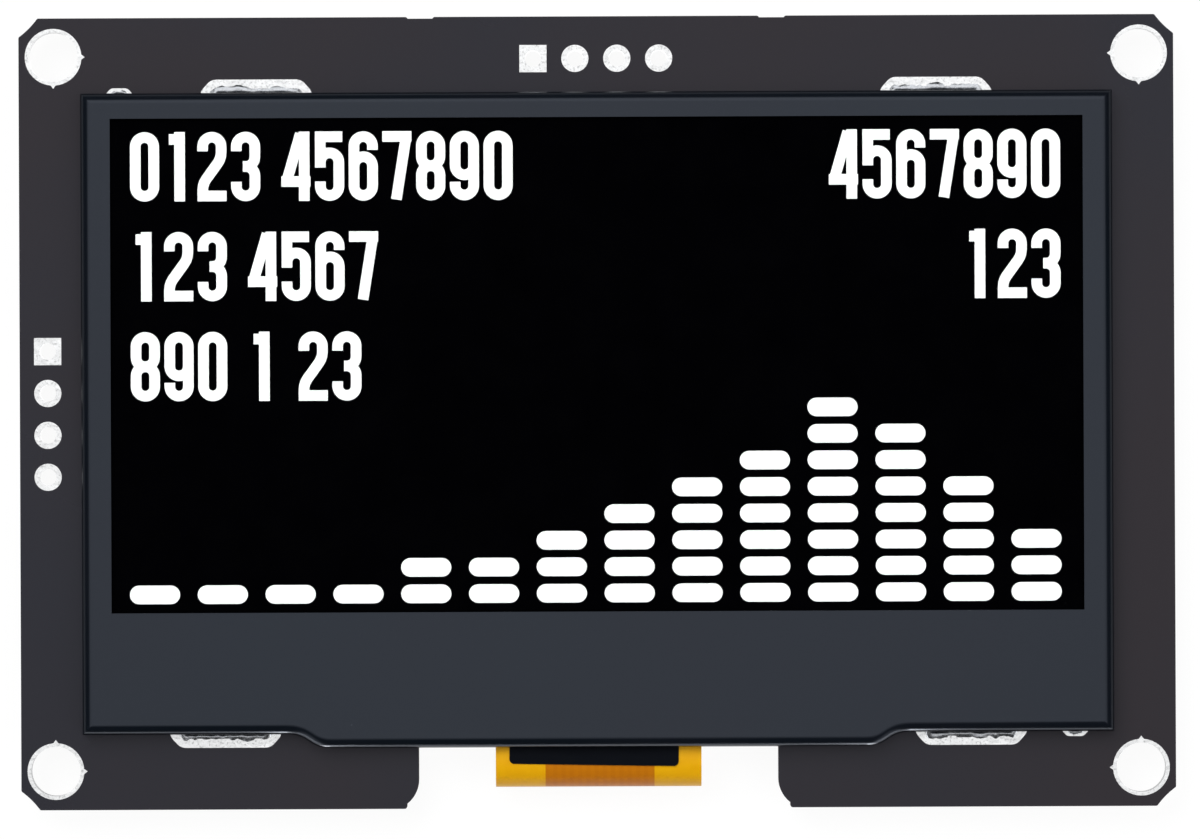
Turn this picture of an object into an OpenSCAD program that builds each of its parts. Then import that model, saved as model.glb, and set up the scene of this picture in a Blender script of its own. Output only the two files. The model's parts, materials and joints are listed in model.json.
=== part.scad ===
// Small OLED display module. A glass panel sits in a stamped frame on a black circuit
// board, and its flat cable folds round the board's foot into a socket on the back.
// +X runs right, +Y up and +Z towards the viewer. The origin is the centre of the four
// mounting holes on the board's back face. All sizes are in millimetres.

/* [Glass panel] */
// Width of the front glass
glass_w = 60.5; // [50:0.5:80]
// Height of the front glass, with the bare ledge at its foot
glass_h = 36.9; // [31:0.1:48]
// Thickness of the front glass
glass_t = 0.7; // [0.4:0.05:1.1]
// Thickness of the cap glass behind it
cap_t = 0.65; // [0.5:0.05:1.1]
// Height of the bare ledge below the cap glass
ledge_h = 5.5; // [4.8:0.1:7]
// Thickness of the seal between the two glasses
seal_t = 0.05; // [0.03:0.01:0.1]
// Width of the seal's bead
seal_w = 1; // [0.8:0.1:1]
// Thickness of the polariser on the front glass
polariser_t = 0.2; // [0.1:0.05:0.4]
// Distance from the polariser's edge to the edge of the glass or ledge
polariser_inset = 0.5; // [0.2:0.05:0.65]
// Thickness of the foam tape that holds the panel on the board
foam_t = 0.5; // [0.4:0.05:1.2]
// Size of the driver chip on the ledge
driver_size = [13, 1.5, 0.3];

/* [Frame] */
// Thickness of the frame's sheet metal
sheet_t = 0.3; // [0.2:0.05:0.4]
// Outside radius of the frame's folded edge
bend_r = 0.6; // [0.45:0.05:0.9]
// Width of the slits that part the folded walls at the frame's corners
corner_slit = 0.15; // [0.1:0.05:0.3]
// Gap from the glass to the frame's wall
glass_gap = 0.65; // [0.3:0.05:1]
// Gap from the polariser to the frame's face
lip_gap = 0.05; // [0.02:0.01:0.2]
// Distance from the side edge of the glass to the window
window_side = 0.85; // [0.6:0.05:2]
// Distance from the top edge of the glass to the window
window_top = 0.6; // [0.6:0.05:2]
// Distance from the foot of the glass to the window
window_foot = 6.4; // [6:0.1:9]
// How far the frame's foot bulges over the flat cable
bulge = 0.85; // [0.4:0.05:1.1]
// Distance from the frame's side to the start of the bulge
bulge_inset = 12.4; // [12.2:0.1:14]
// Width of a soldered tab
tab_w = 5; // [3:0.1:6]
// Width of a locating tab
pin_tab_w = 0.8; // [0.5:0.1:1.2]
// How far the tabs stand out behind the board
tab_reach = 0.6; // [0.3:0.1:1]
// Distance from the frame's side to the middle of a top tab
top_tab_inset = 10.6; // [9:0.1:14]
// Distance from the frame's side to the middle of a foot tab
foot_tab_inset = 8.6; // [7.9:0.1:8.8]
// Distance from the frame's side to the middle of a locating tab
pin_tab_inset = 2.3; // [1.6:0.1:3]

/* [Circuit board] */
// Thickness of the board
board_t = 1.6; // [0.8:0.1:2]
// Board outside the frame, left and right
side_margin = 3.8; // [3.5:0.1:8]
// Board outside the frame, top and foot
end_margin = 4.6; // [4.4:0.05:8]
// How far along its edges each corner of the board is cut off
corner_cut = 1.15; // [0.5:0.05:1.25]
// Radius of the cutter that hollows those cuts
cutter_r = 5; // [3:0.5:8]
// Radius that takes the sharpness off the board's outline
corner_r = 0.15; // [0.05:0.05:0.3]
// Width of the notch for the flat cable
notch_w = 21.8; // [18:0.1:22]
// Depth of the notch
notch_depth = 3.8; // [3.3:0.1:4.2]
// Radius of the flares at the notch's mouth
flare_r = 1.8; // [1:0.1:2]
// Distance from the middle to each scar where the board was parted from its panel
scar_x = 10.65; // [8:0.05:14]
// Length and depth of a scar
scar_size = [1.5, 0.1];
// Radius of a mounting hole
mount_r = 1.5; // [1:0.1:1.6]
// Width of the bare metal round a mounting hole
mount_ring = 0.22; // [0.15:0.01:0.4]
// Distance from the side edge to a mounting hole's centre
mount_side = 2.1; // [2.05:0.05:2.4]
// Distance from the top or foot edge to a mounting hole's centre
mount_end = 2.35; // [2.05:0.05:2.5]
// Holes in each header row
header_count = 4; // [2:1:7]
// Pitch of the header holes
header_pitch = 2.54; // [2:0.27:2.54]
// Radius of a header hole
header_r = 0.5; // [0.4:0.05:0.55]
// Width of a header pad
header_pad = 1.65; // [1.4:0.05:1.8]
// Distance from the board's edge to a header row, at the top and at the left
header_end = 2.55; // [1.6:0.05:3]
header_side = 1.7; // [1.2:0.05:2.5]
// Thickness of the bare plated metal
plate_t = 0.05; // [0.03:0.01:0.1]
// Room round a soldered tab in its slot, along the slot and across it
slot_room = [0.7, 0.6];
// Room round a locating tab in its slot
pin_slot_room = [0.3, 0.3];
// Width of the bare metal above and below a soldered slot
slot_ring = 0.55; // [0.3:0.05:0.6]
// Width of the bare metal beyond the ends of a soldered slot
slot_tip = 0.78; // [0.6:0.02:0.9]
// Width of the bare metal above and below a locating slot
pin_slot_ring = 0.2; // [0.1:0.05:0.3]
// Width of the bare metal beyond the ends of a locating slot
pin_slot_tip = 0.4; // [0.3:0.05:0.4]

/* [Flat cable] */
// Number of conductors
pins = 24; // [16:1:26]
// Pitch of the conductors
pin_pitch = 0.5; // [0.5:0.05:0.55]
// Distance from the last conductor to the cable's edge
flex_edge = 0.475; // [0.3:0.025:0.5]
// Thickness of the cable
flex_t = 0.12; // [0.08:0.01:0.16]
// Thickness of the stiffener under its end
stiffener_t = 0.2; // [0.1:0.01:0.22]
// Length that is bonded to the ledge
bond_len = 1.2; // [0.8:0.1:1.6]
// Distance from the board's foot to the outside of the fold
fold_inset = 1.3; // [0.8:0.1:1.5]
// Gap between the cable and the board's back
flex_lift = 0.43; // [0.43:0.01:0.46]
// Width of the black tape on the cable
tape_w = 10.25; // [8:0.25:12]
// Thickness of the tape
tape_t = 0.06; // [0.04:0.01:0.1]
// How far the tape is stuck on out of true, in degrees
tape_turn = -1; // [-1:0.1:1]
// How far the tape shows below the frame
tape_show = 1.1; // [0.5:0.1:1.2]

/* [Cable socket] */
// Distance from the board's foot to the socket's mouth
socket_inset = 6.4; // [6.2:0.1:8]
// Depth of the socket from mouth to tail side
socket_d = 4.2; // [4:0.1:5]
// Height of the socket
socket_h = 2; // [1.9:0.05:2.4]
// Wall of the socket beside the cable
socket_wall = 2; // [1.8:0.1:3]
// Travel of the locking slider
slide_travel = 1.2; // [0.8:0.1:1.3]
// Running gap round the slider
slide_gap = 0.05; // [0.03:0.01:0.1]
// Depth of cable inside the socket
insert_len = 2.6; // [2:0.1:2.8]

/* [Parts on the back] */
// Thickness of solder under a part
solder_t = 0.06; // [0.03:0.01:0.1]
// Side and height of the power inductor
inductor_w = 4; // [3:0.1:5]
inductor_h = 1.94; // [1.5:0.02:2.5]
// Length, width and height of the tantalum capacitor
tantalum_size = [3.5, 2.8, 1.94];
// Length, width and height of a large ceramic capacitor
big_cap_size = [2, 1.25, 1];
// Length, width and height of a small ceramic capacitor
small_cap_size = [1.6, 0.8, 0.8];
// Length, width and height of a resistor
resistor_size = [1.6, 0.8, 0.4];

/* [Hidden] */
$fn = 48;
eps = 0.01;

// Frame and board, worked out from the glass
frame_w = glass_w + 2 * (glass_gap + sheet_t);
frame_h = glass_h + 2 * (glass_gap + sheet_t);
board_w = frame_w + 2 * side_margin;
board_h = frame_h + 2 * end_margin;
board_foot = -board_h / 2;
mount_x = board_w / 2 - mount_side;
mount_y = board_h / 2 - mount_end;

// Levels, from the board's back face up
z_cap = board_t + foam_t;
z_seal = z_cap + cap_t;
z_glass = z_seal + seal_t;
z_polariser = z_glass + glass_t;
z_lip = z_polariser + polariser_t + lip_gap;
z_top = z_lip + sheet_t;

// Places in the panel
glass_foot = -glass_h / 2;
window_w = glass_w - 2 * window_side;
window_h = glass_h - window_top - window_foot;
window_y = (window_foot - window_top) / 2;
cap_h = glass_h - ledge_h;
cap_y = ledge_h / 2;
cap_rim = 2;
cap_recess = 0.3;
desiccant_t = 0.15;
film_t = 0.03;
lit_border = [0.9, 0.45];

// Curved shoulders of the bulge: two equal arcs that meet half way, where the edge
// slopes at 3 in 4, so that its sine is 0.6 and its cosine is 0.8
shoulder_turn = acos(0.8);
shoulder_r = bulge / (2 * (1 - 0.8));
bulge_x = frame_w / 2 - bulge_inset;
bulge_flat_x = bulge_x - 2 * 0.6 * shoulder_r;

// Slots and their bare metal: size of the slot, then size of the metal
wide_slot = [[tab_w + slot_room[0], sheet_t + slot_room[1]],
    [tab_w + slot_room[0] + 2 * slot_tip, sheet_t + slot_room[1] + 2 * slot_ring]];
pin_slot = [[pin_tab_w + pin_slot_room[0], sheet_t + pin_slot_room[1]],
    [pin_tab_w + pin_slot_room[0] + 2 * pin_slot_tip,
        sheet_t + pin_slot_room[1] + 2 * pin_slot_ring]];

// Tabs: [x, side of the frame, width, slot]
tabs = [
    [-(frame_w / 2 - top_tab_inset), 1, tab_w, wide_slot],
    [frame_w / 2 - top_tab_inset, 1, tab_w, wide_slot],
    [-(frame_w / 2 - foot_tab_inset), -1, tab_w, wide_slot],
    [frame_w / 2 - foot_tab_inset, -1, tab_w, wide_slot],
    [-(frame_w / 2 - pin_tab_inset), 1, pin_tab_w, pin_slot],
    [frame_w / 2 - pin_tab_inset, -1, pin_tab_w, pin_slot]
];
tab_y = frame_h / 2 - sheet_t / 2;

// The circle that hollows a corner cut lies this far outside the board's corner
bite = (sqrt(2 * cutter_r * cutter_r - corner_cut * corner_cut) - corner_cut) / 2;
flare_step = 0.3;

// Flat cable: level of its outer face on the back, and its fold
flex_w = (pins - 1) * pin_pitch + 2 * flex_edge;
flex_back = -flex_lift - flex_t;
fold_r = (z_glass - flex_back) / 2;
fold_y = board_foot + fold_inset + fold_r;
gate_w = flex_w + 2;
gate_gap = 0.15;

// Socket
mouth_y = board_foot + socket_inset;
socket_w = flex_w + 2 * socket_wall;
tail_y = mouth_y + socket_d;
contact_t = 0.15;
contact_w = 0.2;
contact_tail = 0.9;
cavity_top = -2 * contact_t;
cavity_w = flex_w + 0.3;
cavity_d = insert_len + 0.4;
tongue_top = flex_back - stiffener_t - slide_gap;
tongue_t = 0.45;
cavity_foot = tongue_top - tongue_t - slide_gap;
bar_d = 1;
bar_top = tongue_top - 0.1;
bar_foot = -socket_h + 0.1;
arm_t = 0.5;
hook = 0.2;
hook_len = 0.5;
arm_y = mouth_y + 2.6;

// Power parts on the upper back, socket parts along the socket, bus parts at the left
inductor_at = [19, 9];
tantalum_at = [-19, 9];
boost_at = [12.6, 9];
regulator_at = [-12, 9];
diode_at = [19, 4.2];
transistors_at = [[-24.5, 3.4], [-24.5, -2.6]];
big_caps_at = [[24.6, 9, 90], [24.6, 4.8, 90], [-12, 4.8, 0], [12.6, 13, 0]];
small_caps_at = concat(
    [for (i = [-2:2]) [3 * i, tail_y + 3.2, 90]],
    [[-7.6, 9, 90], [8.4, 9, 90], [-19, 13, 0]]
);
resistors_at = concat(
    [for (i = [0:4]) [-6 + 3 * i, 1.2, 90]],
    [for (i = [0:1]) [-20.6, 3.4 - 6 * i, 90]],
    [[12.6, 4.8, 0], [12.6, 3.2, 0], [-24.5, 0.4, 0], [-12, 2.8, 0]]
);
end_cap = 0.35;
pad_room = 0.35;

// Leads of the small packages: body, height, lead places [x, side], lead width
sot_body = [2.9, 1.6, 1.1];
sot6_leads = [for (s = [-1, 1], i = [-1:1]) [0.95 * i, s]];
sot5_leads = [[-0.95, -1], [0, -1], [0.95, -1], [-0.95, 1], [0.95, 1]];
sot3_leads = [[-0.95, -1], [0.95, -1], [0, 1]];
lead_w = 0.4;
lead_t = 0.15;
lead_reach = 0.6;
diode_body = [2.7, 1.6, 1.1];

// ---- shapes that repeat

module obround(w, h) {
    square([w - h, h], center = true);
    for (s = [-1, 1]) translate([s * (w - h) / 2, 0]) circle(d = h);
}

// A bar with pointed ends whose sides slope at 9 in 10, with all its corners rounded
module pointed_bar(w, h) {
    slope = 0.45 * h;
    soft = 0.35 * h;
    offset(r = soft, $fn = 24) offset(delta = -soft) polygon([
        [-w / 2, 0], [-w / 2 + slope, -h / 2], [w / 2 - slope, -h / 2], [w / 2, 0],
        [w / 2 - slope, h / 2], [-w / 2 + slope, h / 2]
    ]);
}

module at_corners(x, y) {
    for (sx = [-1, 1], sy = [-1, 1]) translate([sx * x, sy * y]) children();
}

// A slab w by h, centred, with its lower face at z
module slab(w, h, t, z = 0) {
    translate([-w / 2, -h / 2, z]) cube([w, h, t]);
}

// A part on the board's back: z is measured down from the board's back face
module on_back(at, turn = 0) {
    translate([at[0], at[1], 0]) rotate([0, 0, turn]) mirror([0, 0, 1]) children();
}

// The metal of a plated hole; its children are the outlines of the bare pad and the hole
module plated(grow) {
    difference() {
        union() {
            translate([0, 0, board_t]) linear_extrude(plate_t) children(0);
            translate([0, 0, -plate_t]) linear_extrude(plate_t) children(0);
            linear_extrude(board_t) children(1);
        }
        translate([0, 0, -1]) linear_extrude(board_t + 2) children(2);
    }
}

// A moulded body whose four sides taper both ways from a parting line
module moulded_body(size, lift = 0) {
    draft = 0.12;
    intersection() {
        rotate([90, 0, 0]) linear_extrude(size[1] + 1, center = true)
            tapered(size[0], size[2], lift, draft);
        rotate([90, 0, 90]) linear_extrude(size[0] + 1, center = true)
            tapered(size[1], size[2], lift, draft);
    }
}

module tapered(w, h, lift, draft) {
    polygon([
        [-w / 2 + draft, lift], [w / 2 - draft, lift], [w / 2, (lift + h) / 2],
        [w / 2 - draft, h], [-w / 2 + draft, h], [-w / 2, (lift + h) / 2]
    ]);
}

// Bent leads: foot, riser and shoulder, on either long side of a body
module gull_leads(body, places, lift) {
    mid = (lift + body[2]) / 2;
    for (p = places)
        translate([p[0], p[1] * body[1] / 2, 0]) rotate([90, 0, p[1] * 90])
            linear_extrude(lead_w, center = true) polygon([
                [0, mid - lead_t / 2], [lead_t, mid - lead_t / 2], [lead_t, solder_t],
                [lead_reach, solder_t], [lead_reach, solder_t + lead_t],
                [2 * lead_t, solder_t + lead_t], [2 * lead_t, mid + lead_t / 2],
                [0, mid + lead_t / 2]
            ]);
}

// A pad of solder on the board, with a fillet that climbs the part's end face
module solder_pad(w, l, rise) {
    rotate([90, 0, 0]) linear_extrude(w, center = true) polygon([
        [-l, 0], [pad_room, 0], [pad_room / 2, solder_t], [0, rise], [0, solder_t],
        [-l, solder_t]
    ]);
}

module chip_solder(size, end) {
    for (s = [0, 180]) rotate([0, 0, s]) translate([size[0] / 2, 0, 0])
        solder_pad(size[1], end, solder_t + 0.6 * size[2]);
}

module lead_solder(body, places) {
    for (p = places)
        translate([p[0], p[1] * (body[1] / 2 + lead_reach), 0]) rotate([0, 0, p[1] * 90])
            solder_pad(lead_w + 0.1, lead_reach - lead_t, solder_t + lead_t);
}

// ---- the board and its plated holes

// A flare runs out along an arc to a short step at the board's foot. The arc ends where
// it slopes at 4 in 3, so that it takes 0.4 of its radius across and 0.8 of it up.
module notch_flare() {
    difference() {
        translate([-eps, -1]) square([0.4 * flare_r + eps, 1 + flare_step + 0.8 * flare_r]);
        translate([flare_r, flare_step + 0.8 * flare_r]) circle(r = flare_r);
    }
}

module board_outline() {
    offset(r = corner_r) offset(delta = -corner_r) difference() {
        square([board_w, board_h], center = true);
        at_corners(board_w / 2 + bite, board_h / 2 + bite) circle(r = cutter_r, $fn = 96);
        translate([0, board_foot]) square([notch_w, 2 * notch_depth], center = true);
        for (s = [0, 1]) mirror([s, 0]) {
            translate([notch_w / 2, board_foot]) notch_flare();
            translate([scar_x, board_h / 2])
                square([scar_size[0], 2 * scar_size[1]], center = true);
        }
    }
}

module header_row() {
    for (i = [0:header_count - 1])
        translate([(i - (header_count - 1) / 2) * header_pitch, 0]) children(i == 0 ? 0 : 1);
}

module at_top_header() {
    translate([0, board_h / 2 - header_end]) children();
}

module at_side_header() {
    translate([-board_w / 2 + header_side, 0]) rotate(-90) children();
}

module board() {
    bore_r = header_r + plate_t;
    color([0.07, 0.07, 0.08]) difference() {
        linear_extrude(board_t) board_outline();
        at_corners(mount_x, mount_y) translate([0, 0, -1])
            cylinder(r = mount_r + plate_t, h = board_t + 2);
        at_top_header() header_holes(bore_r);
        at_side_header() header_holes(bore_r);
        for (t = tabs) translate([t[0], t[1] * tab_y, -1]) linear_extrude(board_t + 2)
            slot_outline(t[3][0], plate_t);
    }
}

module slot_outline(size, grow) {
    obround(size[0] + 2 * grow, size[1] + 2 * grow);
}

module header_holes(r) {
    for (i = [0:header_count - 1])
        translate([(i - (header_count - 1) / 2) * header_pitch, 0, -1])
            cylinder(r = r, h = board_t + 2);
}

// Each mounting pad has two small points that face the inside of the board
module mount_plating() {
    ring_r = mount_r + mount_ring;
    point = 0.2;
    color([0.85, 0.86, 0.87]) for (sx = [-1, 1], sy = [-1, 1])
        translate([sx * mount_x, sy * mount_y, 0]) plated() {
            union() {
                circle(r = ring_r);
                for (a = [90 + sx * 90, -sy * 90]) rotate(a) translate([ring_r, 0])
                    polygon([[-point, -1.5 * point], [point, 0], [-point, 1.5 * point]]);
            }
            circle(r = mount_r + plate_t);
            circle(r = mount_r);
        }
}

// One square pad marks the first hole of a header, and the rest are round
module header_plating() {
    header_row() {
        plated() {
            square(header_pad, center = true);
            circle(r = header_r + plate_t);
            circle(r = header_r);
        }
        plated() {
            circle(d = header_pad);
            circle(r = header_r + plate_t);
            circle(r = header_r);
        }
    }
}

module top_header_plating() {
    color([0.85, 0.86, 0.87]) at_top_header() header_plating();
}

module side_header_plating() {
    color([0.85, 0.86, 0.87]) at_side_header() header_plating();
}

module slot_plating() {
    color([0.85, 0.86, 0.87]) for (t = tabs) translate([t[0], t[1] * tab_y, 0]) plated() {
        pointed_bar(t[3][1][0], t[3][1][1]);
        slot_outline(t[3][0], plate_t);
        slot_outline(t[3][0], 0);
    }
}

// ---- the stamped frame

// Section of a block whose two upper edges are rounded
module round_topped(w, z0, z1, r) {
    translate([-w / 2, z0]) square([w, z1 - z0 - r]);
    translate([-w / 2 + r, z0]) square([w - 2 * r, z1 - z0]);
    for (s = [-1, 1]) translate([s * (w / 2 - r), z1 - r]) circle(r = r);
}

// Section from the axis out to reach, with the upper outer edge rounded
module round_rimmed(reach, z0, z1, r) {
    translate([0, z0]) square([reach, z1 - z0 - r]);
    translate([0, z0]) square([reach - r, z1 - z0]);
    translate([reach - r, z1 - r]) circle(r = r);
}

// Section of a ring whose upper inner edge is rounded
module round_mouthed(reach, width, z0, z1, r) {
    translate([reach, z0]) square([width, z1 - z0 - r]);
    translate([reach + r, z0]) square([width - r, z1 - z0]);
    translate([reach + r, z1 - r]) circle(r = r);
}

// The frame's pressed form as a solid block, drawn in from its outer face by inset
module pressed_block(inset, z0) {
    z1 = z_top - inset;
    r = bend_r - inset;
    w = frame_w - 2 * inset;
    h = frame_h - 2 * inset;
    foot = frame_h / 2 + bulge - inset;
    intersection() {
        rotate([90, 0, 0]) linear_extrude(h, center = true) round_topped(w, z0, z1, r);
        rotate([90, 0, 90]) linear_extrude(w, center = true) round_topped(h, z0, z1, r);
    }
    rotate([90, 0, 90]) linear_extrude(2 * bulge_flat_x, center = true) mirror([1, 0])
        round_rimmed(foot, z0, z1, r);
    for (s = [0, 1]) mirror([s, 0, 0]) {
        translate([bulge_flat_x, -frame_h / 2 - bulge + shoulder_r, 0])
            rotate([0, 0, -90]) rotate_extrude(angle = shoulder_turn)
                round_rimmed(shoulder_r - inset, z0, z1, r);
        translate([bulge_x, -frame_h / 2 - shoulder_r, 0])
            rotate([0, 0, 90]) rotate_extrude(angle = shoulder_turn)
                round_mouthed(shoulder_r + inset, 2, z0, z1, r);
    }
}

// A tab with a tapered tip, drawn flat in X and Z
module tab_shape(w) {
    tip = min(0.3, w / 4);
    polygon([
        [-w / 2, board_t + 0.2], [-w / 2, -tab_reach + tip], [-w / 2 + tip, -tab_reach],
        [w / 2 - tip, -tab_reach], [w / 2, -tab_reach + tip], [w / 2, board_t + 0.2]
    ]);
}

module tab_blades() {
    for (t = tabs) translate([t[0], t[1] * tab_y + sheet_t / 2, 0])
        rotate([90, 0, 0]) linear_extrude(sheet_t) tab_shape(t[2]);
}

module frame() {
    gate_z = z_glass + gate_gap;
    color([0.13, 0.14, 0.16]) union() {
        difference() {
            pressed_block(0, board_t + plate_t);
            pressed_block(sheet_t, board_t - 1);
            translate([0, window_y, 0]) slab(window_w, window_h, z_top + 1);
            translate([0, -frame_h / 2 - bulge, board_t - 1])
                slab(gate_w, 2, gate_z - board_t + 1);
            for (sx = [0, 1], sy = [0, 1]) mirror([sx, 0, 0]) mirror([0, sy, 0])
                translate([frame_w / 2, frame_h / 2, board_t - 1]) rotate([0, 0, 45])
                    slab(3, corner_slit, z_top - bend_r - board_t + 1);
        }
        tab_blades();
    }
}

// Solder fills each slot round its tab and mounds over the tip behind the board
module tab_solder() {
    fill_z = board_t - 0.08;
    color([0.72, 0.73, 0.75]) for (t = tabs) difference() {
        ring = (t[3][1][1] - t[3][0][1]) / 2;
        $fn = 24;
        translate([t[0], t[1] * tab_y, 0]) union() {
            translate([0, 0, -plate_t]) linear_extrude(fill_z + plate_t)
                slot_outline(t[3][0], 0);
            hull() {
                translate([0, 0, -plate_t - 0.1]) linear_extrude(0.1)
                    slot_outline(t[3][0], ring / 2);
                translate([0, 0, -tab_reach - 0.2]) linear_extrude(0.1)
                    slot_outline(t[3][0], -ring / 4);
            }
        }
        translate([t[0], t[1] * tab_y + sheet_t / 2, 0])
            rotate([90, 0, 0]) linear_extrude(sheet_t) tab_shape(t[2]);
    }
}

// ---- the glass panel

module polariser() {
    h = glass_h - ledge_h - 2 * polariser_inset + 0.1;
    color([0.02, 0.02, 0.03]) translate([0, glass_h / 2 - polariser_inset - h / 2, 0])
        slab(glass_w - 2 * polariser_inset, h, polariser_t, z_polariser);
}

module front_glass() {
    color([0.2, 0.24, 0.26]) slab(glass_w, glass_h, glass_t, z_glass);
}

// The light-emitting layers, on the back of the front glass
module organic_film() {
    color([0.05, 0.05, 0.06]) translate([0, window_y, 0])
        slab(window_w - 2 * lit_border[0], window_h - 2 * lit_border[1], film_t,
            z_glass - film_t);
}

module glass_seal() {
    color([0.55, 0.5, 0.35]) translate([0, cap_y, 0]) difference() {
        slab(glass_w, cap_h, seal_t, z_seal);
        slab(glass_w - 2 * seal_w, cap_h - 2 * seal_w, 1, z_seal - 0.5);
    }
}

module desiccant() {
    color([0.9, 0.9, 0.88]) translate([0, cap_y, 0])
        slab(glass_w - 4 * cap_rim, cap_h - 4 * cap_rim, desiccant_t, z_seal - cap_recess);
}

// The cap is etched out behind the film to make room for the desiccant
module cap_glass() {
    color([0.25, 0.3, 0.32]) translate([0, cap_y, 0]) difference() {
        slab(glass_w, cap_h, cap_t, z_cap);
        slab(glass_w - 2 * cap_rim, cap_h - 2 * cap_rim, 1, z_seal - cap_recess);
    }
}

module driver_chip() {
    y = glass_foot + ledge_h - driver_size[1] / 2 - 0.7;
    color([0.3, 0.31, 0.34]) translate([0, y, 0])
        slab(driver_size[0], driver_size[1], driver_size[2], z_glass - driver_size[2]);
}

module foam_tape() {
    strip = [glass_w - 8, 6];
    color([0.1, 0.1, 0.1]) for (s = [-1, 1])
        translate([0, cap_y + s * (cap_h / 2 - strip[1]), 0])
            slab(strip[0], strip[1], foam_t, board_t);
}

// ---- the flat cable

// Section in Y and Z: bonded under the ledge, round the fold and into the socket
module flat_cable() {
    bond_y = glass_foot + bond_len;
    end_y = mouth_y + insert_len;
    color([0.9, 0.62, 0.05]) {
        translate([-flex_w / 2, fold_y, z_glass - flex_t])
            cube([flex_w, bond_y - fold_y, flex_t]);
        translate([-flex_w / 2, fold_y, flex_back]) cube([flex_w, end_y - fold_y, flex_t]);
        translate([0, fold_y, z_glass - fold_r]) rotate([90, 0, 90])
            linear_extrude(flex_w, center = true) intersection() {
                difference() {
                    circle(r = fold_r);
                    circle(r = fold_r - flex_t);
                }
                translate([-2 * fold_r, -2 * fold_r]) square([2 * fold_r, 4 * fold_r]);
            }
    }
}

module cable_stiffener() {
    l = insert_len + 1.6;
    color([0.75, 0.45, 0.05])
        translate([-flex_w / 2, mouth_y + insert_len - l, flex_back - stiffener_t])
            cube([flex_w, l, stiffener_t]);
}

// The tape lies between the foot of the glass and the fold
module cable_tape() {
    corner = 0.3;
    foot = -frame_h / 2 - bulge - tape_show;
    h = glass_foot - foot - 0.15;
    color([0.03, 0.03, 0.04]) translate([-0.26, foot + h / 2, z_glass])
        rotate([0, 0, tape_turn]) linear_extrude(tape_t) offset(r = corner)
            square([tape_w - 2 * corner, h - 2 * corner], center = true);
}

// ---- the cable socket

module contact_places() {
    for (i = [0:pins - 1])
        translate([(i - (pins - 1) / 2) * pin_pitch, 0, 0]) children();
}

module socket_housing() {
    recess_len = slide_travel + hook_len + 2 * slide_gap;
    color([0.92, 0.9, 0.84]) difference() {
        translate([-socket_w / 2, mouth_y, -socket_h]) cube([socket_w, socket_d, socket_h]);
        translate([-cavity_w / 2, mouth_y - 1, cavity_foot])
            cube([cavity_w, cavity_d + 1, cavity_top - cavity_foot]);
        // a lead-in at the mouth
        translate([0, mouth_y, 0]) rotate([90, 0, 90])
            linear_extrude(cavity_w, center = true) polygon([
                [-1, cavity_foot - 0.2], [0, cavity_foot - 0.2], [0.3, cavity_foot + eps],
                [0.3, cavity_top - eps], [-1, cavity_top - eps]
            ]);
        contact_places() translate([-contact_w / 2 - 0.02, mouth_y + 0.4, -2 * contact_t - eps])
            cube([contact_w + 0.04, socket_d, contact_t + eps]);
        // recesses in which the slider's hooks run
        for (s = [0, 1]) mirror([s, 0, 0])
            translate([socket_w / 2 - hook, arm_y - recess_len + slide_gap, -socket_h - 1])
                cube([1, recess_len, socket_h + 1 + bar_top + slide_gap]);
        // a shallow step along the tail side
        translate([-socket_w / 2 - 1, tail_y - 0.5, -socket_h - eps])
            cube([socket_w + 2, 1, 0.35 + eps]);
    }
}

// Closed at rest. It pulls straight out by its travel to free the cable.
module socket_slider() {
    arm_x = socket_w / 2 + slide_gap;
    bar_y = mouth_y - slide_gap;
    color([0.12, 0.1, 0.09]) union() {
        translate([-arm_x - arm_t, bar_y - bar_d, bar_foot])
            cube([2 * (arm_x + arm_t), bar_d, bar_top - bar_foot]);
        translate([-flex_w / 2, bar_y - eps, tongue_top - tongue_t])
            cube([flex_w, insert_len - 0.3, tongue_t]);
        translate([-flex_w / 2, bar_y - bar_d / 2, tongue_top - tongue_t])
            cube([flex_w, bar_d / 2, tongue_t]);
        for (s = [0, 1]) mirror([s, 0, 0]) translate([0, 0, bar_foot]) {
            translate([arm_x, bar_y - bar_d / 2, 0])
                cube([arm_t, arm_y - bar_y + bar_d / 2, bar_top - bar_foot]);
            linear_extrude(bar_top - bar_foot) polygon([
                [arm_x + eps, arm_y - hook_len], [arm_x - hook, arm_y - hook_len],
                [arm_x - hook, arm_y - hook_len / 2], [arm_x + eps, arm_y]
            ]);
        }
    }
}

// Each contact runs from a tail on the board to a bump that bears on the cable
module socket_contacts() {
    tip_y = mouth_y + 0.5;
    color([0.85, 0.68, 0.3]) contact_places() rotate([90, 0, 90])
        linear_extrude(contact_w, center = true) polygon([
            [tail_y + contact_tail, 0], [tail_y + contact_tail, -contact_t],
            [tail_y + contact_t, -contact_t], [tail_y + contact_t, -2 * contact_t],
            [tip_y + 0.7, -2 * contact_t], [tip_y + 0.5, -flex_lift],
            [tip_y + 0.3, -flex_lift], [tip_y, -2 * contact_t],
            [tip_y, -contact_t], [tail_y + eps, -contact_t], [tail_y + eps, 0]
        ]);
}

module socket_anchors() {
    foot = [1, 1.8, 0.2];
    rise = 0.7;
    color([0.8, 0.81, 0.82]) for (s = [0, 1]) mirror([s, 0, 0])
        translate([socket_w / 2, mouth_y + 0.6, 0]) {
            translate([0, 0, -foot[2]]) cube(foot);
            translate([0, 0, -rise]) cube([0.15, foot[1], rise]);
        }
}

// ---- parts on the back

module inductor_plate() {
    difference() {
        square(inductor_w, center = true);
        at_corners(inductor_w / 2, inductor_w / 2) rotate(45)
            square(0.7 * sqrt(2), center = true);
    }
}

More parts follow.
